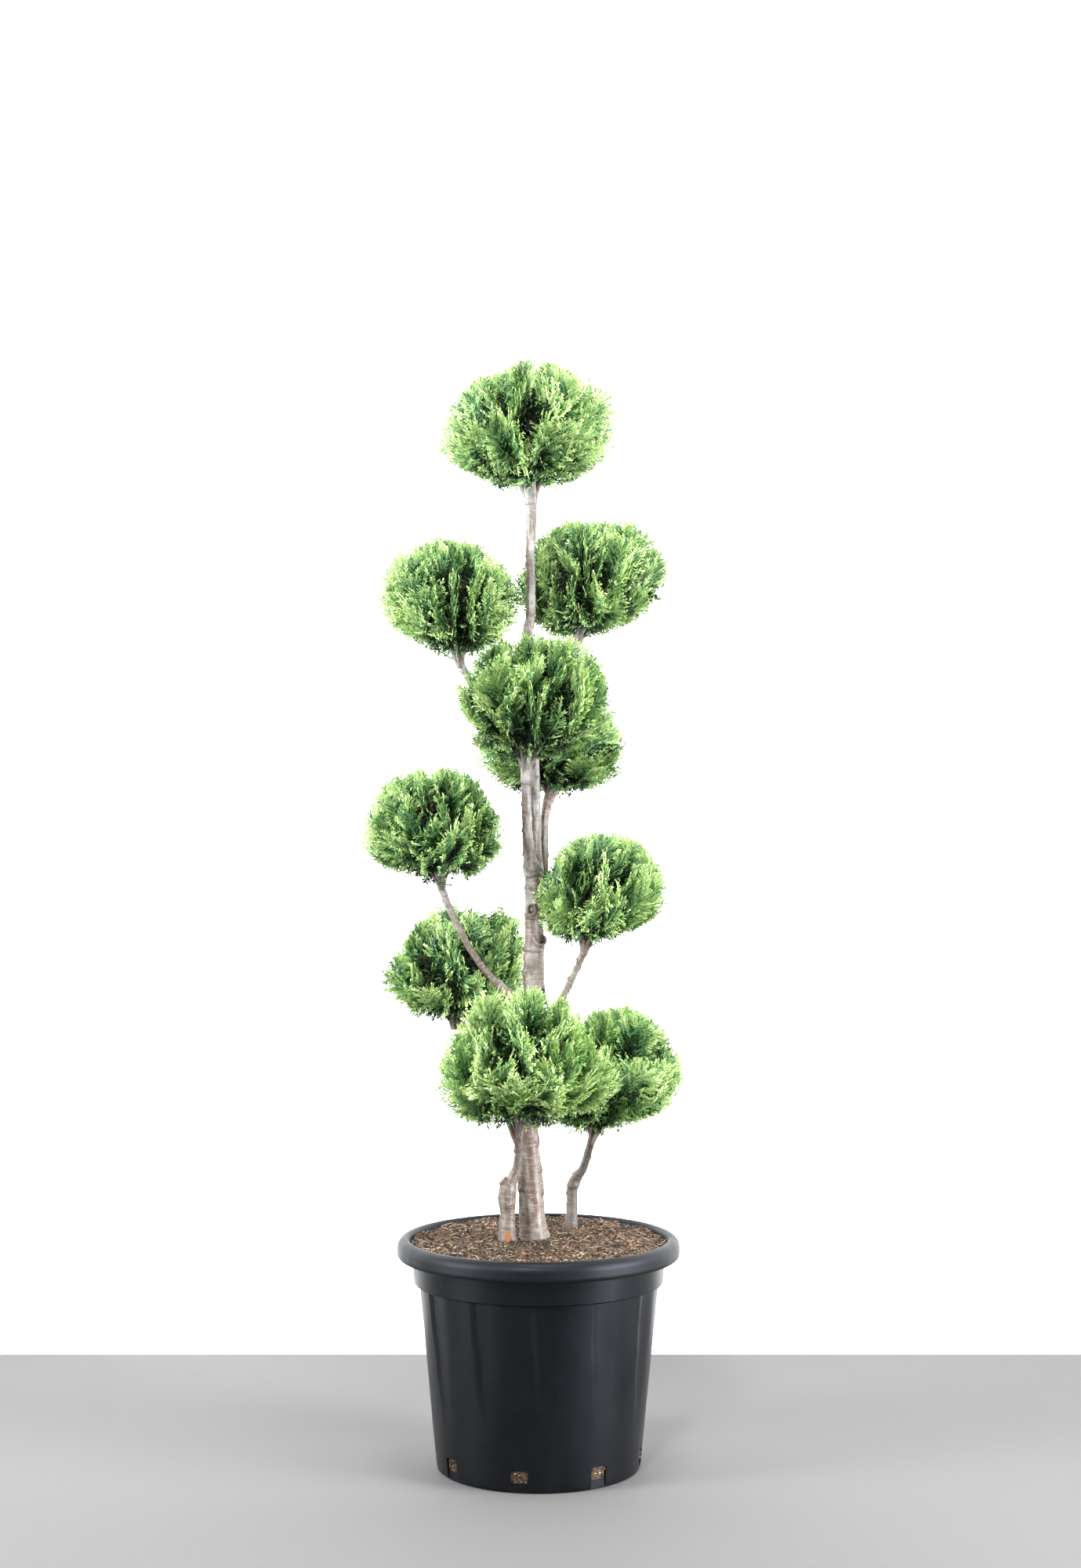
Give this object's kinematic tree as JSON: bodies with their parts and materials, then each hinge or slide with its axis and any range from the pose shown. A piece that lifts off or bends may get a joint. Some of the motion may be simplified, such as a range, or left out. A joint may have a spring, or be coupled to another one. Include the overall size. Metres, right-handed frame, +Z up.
{
  "type": "potted lawson cypress",
  "caption": "Golden Lawson cypress clipped into separate round clouds of foliage on bare stems, in a round black nursery pot filled with soil.",
  "frame": {"origin": "centre of the pot's flat underside", "axes": "+Z up along the trunk; -Y faces the viewer of the picture, +X to the right"},
  "size_m": [0.4336, 0.3908, 1.5249],
  "materials": {
    "pot": "satin",
    "soil": "loose bark and peat",
    "bark": "smooth bark",
    "foliage": "scale leaves"
  },
  "bodies": {
    "root": {"pot": "pot", "soil": "soil", "trunk": "bark", "stem_front": "bark", "stem_right": "bark", "bough_lower_left": "bark", "bough_left": "bark", "bough_right": "bark", "bough_back_middle": "bark", "bough_front_middle": "bark", "bough_upper_left": "bark", "bough_upper_right": "bark", "cloud_top": "foliage", "cloud_upper_left": "foliage", "cloud_upper_right": "foliage", "cloud_front_middle": "foliage", "cloud_back_middle": "foliage", "cloud_left": "foliage", "cloud_right": "foliage", "cloud_lower_left": "foliage", "cloud_front_low": "foliage", "cloud_right_low": "foliage"}
  },
  "joints": []
}
